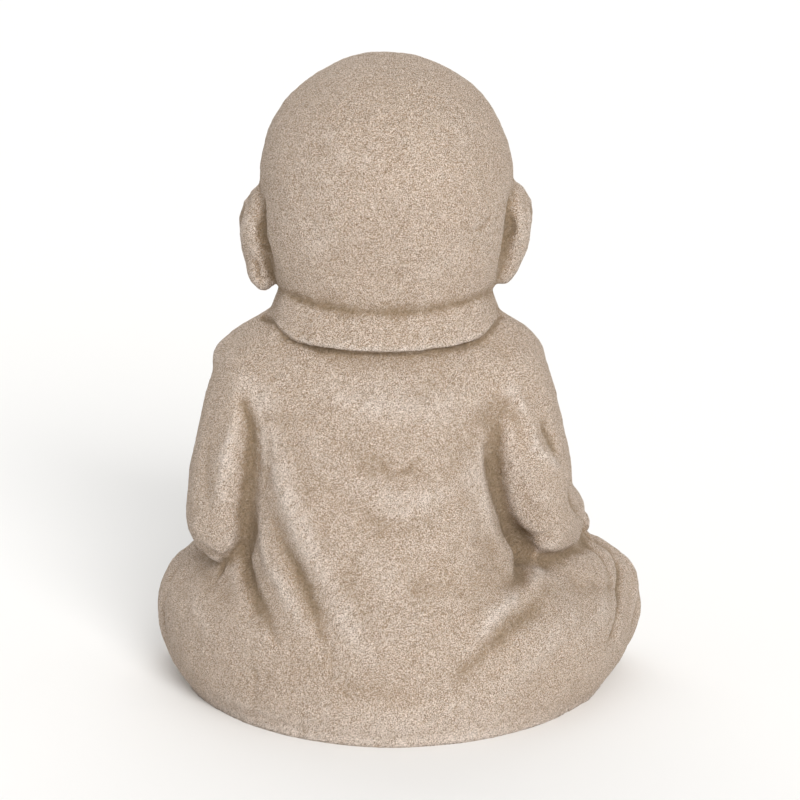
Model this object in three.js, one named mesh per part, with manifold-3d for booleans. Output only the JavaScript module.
// A seated child monk cast in stone: round bald head with long-lobed ears, a robe with a broad
// neckband and wide sleeves, the right hand on the knee and the left in the lap, legs folded under
// the robe, flat underside. Millimetres, +Z up. The figure faces -Y and its own left side is +X.
// The origin is in the middle of the underside.
import * as THREE from "three";
import { LoftGeometry } from "three/addons/geometries/LoftGeometry.js";
import { mergeVertices } from "three/addons/utils/BufferGeometryUtils.js";
import Module from "manifold-3d";

const wasm = await Module();
wasm.setup();

// ---- Driving dimensions ----

const HEIGHT = 379; // underside to crown
const SKULL = { x: 6, y: -6, z: 308, radius: 72.5 }; // the skull is close to a ball
const NECK = { x: 7.5, y: -4, z: 205 }; // a point inside the neck that the neckband wraps round
const BAND = { tall: 10.5, thick: 5 }; // half-height and half-thickness of the neckband
const KNEE = { left: [103, -60, 36], right: [-106, -60, 42], radius: 45 };
const EAR = { out: 78, y: -2, top: 303, tall: 56 };
const EYE = { apart: 28, y: -67, z: 305, wide: 15, tall: 8, deep: 9, turn: 20 };

const v = (x, y, z) => new THREE.Vector3(x, y, z);
const DOME = 0.8; // how far a limb's end stands out, for each unit of its smaller half-size
const UP = v(0, 0, 1);
const SIDE = v(1, 0, 0);
const power = (value, exponent) => Math.sign(value) * Math.pow(Math.abs(value), exponent);

// ---- Solids ----

// A closed three.js geometry as a manifold-3d solid, with its shared vertices merged.
function solid(geometry) {
  const bare = geometry.index ? geometry.toNonIndexed() : geometry.clone();
  bare.deleteAttribute("normal");
  bare.deleteAttribute("uv");
  const merged = mergeVertices(bare, 1e-3);
  const made = new wasm.Manifold(
    new wasm.Mesh({
      numProp: 3,
      vertProperties: merged.attributes.position.array,
      triVerts: new Uint32Array(merged.index.array),
    }),
  );
  if (made.volume() < 0) throw new Error("a form is inside out");
  return made;
}

// Catmull-Rom through rows of numbers: the row at t, for t from 0 to 1 over evenly spread rows.
function through(rows) {
  const row = (k) => rows[Math.max(0, Math.min(rows.length - 1, k))];
  return (t) => {
    const at = t * (rows.length - 1);
    const i = Math.min(Math.floor(at), rows.length - 2);
    const f = at - i;
    return rows[0].map((_, c) => {
      const [a, b, d, e] = [row(i - 1)[c], row(i)[c], row(i + 1)[c], row(i + 2)[c]];
      const bend = 2 * a - 5 * b + 4 * d - e + f * (3 * (b - d) + e - a);
      return b + 0.5 * f * (d - a + f * bend);
    });
  };
}

// A body mass of level sections. A station is [z, to the left, to the right, to the front, to the
// back, squareness, x, y]; relief gives how far a point of the surface is pushed out.
function mass(stations, rows, points, relief = () => 0) {
  const station = through(stations);
  const sections = Array.from({ length: rows + 1 }, (_, i) => {
    const [z, left, right, front, back, squareness, x, y] = station(i / rows);
    return Array.from({ length: points }, (_, j) => {
      const angle = (2 * Math.PI * j) / points;
      const across = power(Math.cos(angle), 2 / squareness) * (Math.cos(angle) > 0 ? left : right);
      const deep = power(Math.sin(angle), 2 / squareness) * (Math.sin(angle) > 0 ? back : front);
      const reach = 1 + relief(x + across, y + deep, z) / Math.hypot(across, deep);
      return v(x + across * reach, y + deep * reach, z);
    });
  });
  return solid(new LoftGeometry(sections, { capStart: true, capEnd: true }));
}

// A limb swept along its centre line and domed at both ends. A station is [x, y, z, half-width,
// half-thickness]; the thickness lies as near as it can to the direction facing(point) gives.
function limb(stations, facing, { rows = 9, points = 18, squareness = 2, domeRows = 3 } = {}) {
  const station = through(stations);
  const centre = (t) => v(...station(t).slice(0, 3));
  const ring = (t, lift, share) => {
    const [, , , wide, thick] = station(t);
    const at = centre(t);
    const ahead = centre(Math.min(1, t + 0.01)).sub(centre(Math.max(0, t - 0.01))).normalize();
    const side = facing(at).clone().cross(ahead).normalize();
    const top = ahead.clone().cross(side);
    return Array.from({ length: points }, (_, j) => {
      const angle = (2 * Math.PI * j) / points;
      return at
        .clone()
        .addScaledVector(ahead, lift * Math.min(wide, thick) * DOME)
        .addScaledVector(side, share * wide * power(Math.cos(angle), 2 / squareness))
        .addScaledVector(top, share * thick * power(Math.sin(angle), 2 / squareness));
    });
  };
  const tilts = Array.from({ length: domeRows }, (_, k) => ((k + 0.35) * Math.PI) / 2 / domeRows);
  const sections = [
    ...tilts.map((a) => ring(0, -Math.cos(a), Math.sin(a))),
    ...Array.from({ length: rows + 1 }, (_, i) => ring(i / rows, 0, 1)),
    ...tilts.toReversed().map((a) => ring(1, Math.cos(a), Math.sin(a))),
  ];
  return solid(new LoftGeometry(sections, { capStart: true, capEnd: true }));
}

// An ellipsoid turned about its own centre; turn is in degrees about x, y and z.
function egg(at, radii, turn = [0, 0, 0], segments = 14) {
  const geometry = new THREE.SphereGeometry(1, segments, Math.round(segments * 0.7));
  geometry.rotateX(Math.PI / 2);
  geometry.scale(...radii);
  const [x, y, z] = turn.map(THREE.MathUtils.degToRad);
  geometry.applyMatrix4(new THREE.Matrix4().makeRotationFromEuler(new THREE.Euler(x, y, z)));
  geometry.translate(...at);
  return solid(geometry);
}

const join = (forms) => forms.reduce((whole, form) => whole.add(form));
const carve = (form, cutters) => cutters.reduce((whole, cutter) => whole.subtract(cutter), form);

// ---- Folds of the robe ----

// Each fold runs over the back through points [x, z]. It stands out (+) or is cut in (-) by "high"
// and fades sideways over "wide" and towards both ends.
const BACK_FOLDS = [
  { path: [[89, 104], [84, 84], [78, 62]], wide: 8, high: -5 },
  { path: [[77, 118], [66, 99], [50, 78]], wide: 8, high: -6 },
  { path: [[66, 158], [40, 128], [30, 98], [20, 62]], wide: 10, high: 3.5 },
  { path: [[84, 86], [62, 56], [44, 30]], wide: 11, high: 3 },
  { path: [[-66, 116], [-70, 98], [-74, 72]], wide: 8, high: -6 },
  { path: [[-66, 82], [-56, 62], [-38, 38]], wide: 10, high: -3.5 },
  { path: [[-52, 90], [-46, 66], [-30, 38]], wide: 10, high: 2 },
  { path: [[44, 180], [15, 160], [-12, 152], [-40, 164]], wide: 9, high: -2 },
];

// How far a point's x and z are from a path, and how far along the path that is, from 0 to 1.
function nearest(path, x, z) {
  let best = { apart: Infinity, along: 0 };
  for (let i = 0; i < path.length - 1; i++) {
    const [[ax, az], [bx, bz]] = [path[i], path[i + 1]];
    const length = (bx - ax) ** 2 + (bz - az) ** 2;
    const f = Math.max(0, Math.min(1, ((x - ax) * (bx - ax) + (z - az) * (bz - az)) / length));
    const apart = Math.hypot(x - ax - f * (bx - ax), z - az - f * (bz - az));
    if (apart < best.apart) best = { apart, along: (i + f) / (path.length - 1) };
  }
  return best;
}

function backRelief(x, y, z) {
  if (y < 10) return 0;
  return BACK_FOLDS.reduce((sum, { path, wide, high }) => {
    const { apart, along } = nearest(path, x, z);
    return sum + high * Math.exp(-((apart / wide) ** 2)) * Math.sin(Math.PI * (0.12 + 0.76 * along));
  }, 0);
}

// ---- Head ----

// The soft swells and hollows of the face: [to the side, height above the skull's middle, width,
// how far out]. Each is on both sides.
const FACE_SWELLS = [
  [34, -20, 19, 5.5], // cheeks
  [28, -2, 12, -4], // eye sockets
  [22, 13, 13, 2], // brows
  [0, -35, 13, 3.5], // mouth
  [0, -50, 11, 4], // chin
];

function faceRelief(x, y, z) {
  if (y > SKULL.y) return 0;
  const swell = (side, [out, up, wide, high]) => {
    const apart = Math.hypot(x - SKULL.x - side * out, z - SKULL.z - up);
    return (out ? 1 : 0.5) * high * Math.exp(-((apart / wide) ** 2));
  };
  return FACE_SWELLS.reduce((sum, each) => sum + swell(1, each) + swell(-1, each), 0);
}

function skull() {
  const { x, y, z, radius } = SKULL;
  const lower = [
    [z - 86, 46, 46, 38, 38, 2, x, y],
    [z - 70, 57, 57, 52, 46, 2.1, x, y],
    [z - 58, 64, 64, 64, 54, 2.2, x, y],
    [z - 40, 69.5, 69.5, 72, 63, 2.2, x, y],
    [z - 20, 72.2, 72.2, 74, 70, 2.1, x, y],
  ];
  const tilts = [0, 17, 34, 50, 64, 76, 86];
  const upper = tilts.map((tilt) => {
    const level = radius * Math.cos(THREE.MathUtils.degToRad(tilt));
    const lift = (HEIGHT - z) * Math.sin(THREE.MathUtils.degToRad(tilt));
    return [z + lift, level, level, level * 1.02, level, 2.05, x, y];
  });
  return mass([...lower, ...upper], 20, 36, faceRelief);
}

function ear(side) {
  const { out, y, top, tall } = EAR;
  // [height down from the top, inwards from the outermost, backwards, half-depth, half-thickness]
  const shape = [
    [0, 8, 1, 8, 5],
    [0.16, 2, 0, 14, 7.5],
    [0.36, 0, 0, 16, 7],
    [0.58, 3, -1, 13, 6],
    [0.8, 5, -2, 9, 6.5],
    [1, 8, -3, 7, 6],
  ];
  const stations = shape.map(([down, inwards, back, deep, thick]) => [
    SKULL.x + side * (out - inwards),
    y + back,
    top - down * tall,
    deep,
    thick,
  ]);
  const shell = limb(stations, () => v(side, 0.35, 0), { rows: 7, points: 12, domeRows: 2 });
  const middle = [SKULL.x + side * (out + 6), y - 7, top - tall * 0.33];
  const hollow = egg(middle, [6, 8, 13], [0, 0, side * 18], 10);
  return carve(shell, [hollow]);
}

// A lowered eyelid with the line of the lashes along its lower edge.
function eye(side) {
  const { apart, y, z, wide, tall, deep, turn } = EYE;
  const [x, angle] = [SKULL.x + side * apart, THREE.MathUtils.degToRad(side * turn)];
  const lashes = [-1, -0.5, 0, 0.5, 1].map((t) => {
    const drop = 0.55 - 0.45 * t * t;
    const out = Math.sqrt(Math.max(0.02, 1 - (0.9 * t) ** 2 - drop ** 2));
    const at = v(0.9 * t * wide, -deep * out, -drop * tall).applyAxisAngle(UP, angle);
    return [x + at.x, y + at.y, z + at.z, 1.3, 1.3];
  });
  return [
    egg([x, y, z], [wide, deep, tall], [0, 0, side * turn], 12),
    limb(lashes, () => UP, { rows: 5, points: 6, domeRows: 1 }),
  ];
}

function face() {
  const { x } = SKULL;
  const { z } = EYE;
  const bridge = [
    [x, -72, z + 9, 6, 5],
    [x, -77, z - 5, 6, 6],
    [x, -82, z - 17, 7.5, 7],
  ];
  const lip = (drop, wide, tall, y) => egg([x, y, z - drop], [wide, 8, tall], [0, 0, 0], 10);
  return [
    ...eye(1),
    ...eye(-1),
    limb(bridge, () => v(0, -1, 0), { rows: 3, points: 10, domeRows: 2 }),
    ...[-1, 1].map((s) => egg([x + s * 7.5, -79, z - 19], [5, 6, 4.6], [0, 0, 0], 8)),
    lip(33, 14, 3.4, -76),
    lip(38.2, 10.5, 3.6, -75.2),
  ];
}

// ---- Robe ----

// The body from the underside to the neck: hips and lap, then the back and chest, then the shoulders.
function body() {
  return mass(
    [
      [-12, 116, 118, 62, 156, 1.9, 2, -50],
      [0, 125, 128, 66, 159, 1.9, 2, -50],
      [14, 132, 136, 69, 161, 1.9, 1, -50],
      [34, 138, 142, 69, 157, 1.9, 0, -50],
      [54, 136, 138, 63, 150, 1.9, 0, -48],
      [72, 118, 116, 52, 136, 2, 2, -40],
      [88, 97, 92, 50, 114, 2.1, 5, -24],
      [104, 84, 76, 60, 93, 2.3, 7, -7],
      [122, 80, 71, 63, 82, 2.4, 8, 0],
      [142, 79, 70, 63, 77, 2.4, 9, 0],
      [162, 79, 70, 61, 71, 2.4, 9, 0],
      [178, 82, 74, 58, 66, 2.3, 9, 0],
      [192, 95, 89, 53, 60, 2.2, 9, 0],
      [206, 97, 95, 48, 53, 2.1, 9, 0],
      [219, 87, 86, 42, 45, 2, 8, 0],
      [230, 69, 70, 37, 38, 2, 8, 0],
      [242, 50, 50, 32, 32, 2, 7, 0],
    ],
    28,
    46,
    backRelief,
  );
}

// Upper arms and forearms under the sleeves. Their half-width lies in the plane the arm bends in.
function sleeves() {
  const left = [
    [[72, 3, 190, 40, 36], [82, 5, 164, 42, 34.5], [93, 5, 138, 40, 30.5], [96, 3, 113, 35, 29]],
    [[96, 4, 120, 30, 28], [92, -24, 108, 31, 28.5], [72, -50, 98, 28, 26], [46, -66, 94, 24, 23]],
  ];
  const right = [
    [[-53, 3, 190, 40, 36], [-63, 6, 164, 40, 33], [-74, 6, 138, 38, 28], [-79, 2, 118, 33, 24]],
    [[-78, 6, 118, 29, 24], [-85, -18, 110, 27, 22], [-93, -42, 101, 23, 20], [-99, -58, 96, 19, 17]],
  ];
  return [...left, ...right].map((arm) => limb(arm, () => SIDE, { rows: 5, points: 14 }));
}

// Thighs spread to the knees, shins crossed in front of them, and a roll of cloth on the right knee.
function legs() {
  const { left, right, radius } = KNEE;
  const thighs = [
    [[58, 18, 42, 48, 44], [90, -26, 38, 46, 45], [...left, radius - 1, radius]],
    [[-56, 18, 44, 48, 46], [-90, -26, 44, 46, 46], [...right, radius, radius]],
  ];
  const shins = [
    [[105, -68, 22, 44, 36], [52, -94, 28, 30, 29], [0, -98, 24, 26, 25]],
    [[-105, -66, 27, 42, 34], [-52, -88, 36, 30, 31], [6, -88, 34, 28, 27]],
  ];
  const rollOfCloth = [[-96, -38, 84, 11, 10], [-117, -54, 82, 12, 10], [-132, -64, 66, 10, 9]];
  return [...thighs, ...shins, rollOfCloth].map((leg) => limb(leg, () => UP, { rows: 4, points: 12 }));
}

// The neckband goes round the nape and down both sides of the chest. The left side laps over the right.
function band() {
  const { tall, thick } = BAND;
  const { x, y, z } = NECK;
  const outward = (at) => v(at.x - x, at.y - y, THREE.MathUtils.clamp(at.z - z, -6, 20));
  const strap = (path) => limb(path.map((at) => [...at, tall, thick]), outward, {
    rows: path.length * 3,
    points: 8,
    squareness: 3,
    domeRows: 2,
  });
  const chest = (s) => [[x + s * 64, -2, z + 31], [x + s * 50, -31, z + 20], [x + s * 26, -50, z - 8]];
  const nape = [[x + 47, 34, z + 25], [x, 49, z + 21.5], [x - 47, 34, z + 25]];
  return [
    strap([...chest(1).toReversed(), ...nape, ...chest(-1), [x - 4, -60, z - 40]]),
    strap([[x + 44, -39, z + 13], [x + 18, -57, z - 14], [x - 12, -64, z - 46], [x - 46, -58, z - 78]]),
  ];
}

// ---- Hands ----

// A resting hand at its palm's middle, with the fingers side by side and the thumb on the given side.
function hand(at, turn, side) {
  const forms = [egg([0, 2, 0], [19, 21, 11], [0, 0, 0], 10)];
  for (let k = 0; k < 4; k++) {
    const across = (k - 1.5) * 8.4;
    const tip = -19 + Math.abs(k - 1.3) * 2.5;
    forms.push(egg([across, tip, -3], [5.6, 14, 6.4], [12, 0, (k - 1.5) * 4], 8));
  }
  forms.push(egg([side * 17, -6, -3], [6, 14, 6.4], [10, 0, side * 28], 8));
  return join(forms).rotate(turn).translate(at);
}

// ---- The statue ----

function statue() {
  const head = join([skull(), ...face()]);
  const robe = join([body(), ...sleeves(), ...legs(), ...band()]);
  const hands = [hand([-106, -76, 85], [34, 0, -6], 1), hand([22, -78, 89], [22, 0, -66], -1)];
  const whole = join([robe, head, ear(1), ear(-1), ...hands]);
  const ground = new THREE.BoxGeometry(600, 600, 200);
  ground.translate(0, 0, -100);
  return carve(whole, [solid(ground)]);
}

function meshOf(name, form) {
  const { numProp, vertProperties, triVerts } = form.getMesh();
  const positions = new Float32Array((vertProperties.length / numProp) * 3);
  for (let i = 0; i < positions.length / 3; i++) {
    positions.set(vertProperties.subarray(i * numProp, i * numProp + 3), i * 3);
  }
  const geometry = new THREE.BufferGeometry();
  geometry.setAttribute("position", new THREE.BufferAttribute(positions, 3));
  geometry.setIndex(Array.from(triVerts));
  geometry.computeVertexNormals();
  const stone = new THREE.MeshStandardMaterial({ color: 0xb9a894, roughness: 0.92, metalness: 0 });
  const mesh = new THREE.Mesh(geometry, stone);
  mesh.name = name;
  return mesh;
}

const part = new THREE.Group();
part.name = "seated_child_monk";
part.add(meshOf("cast_figure", statue()));
export default part;
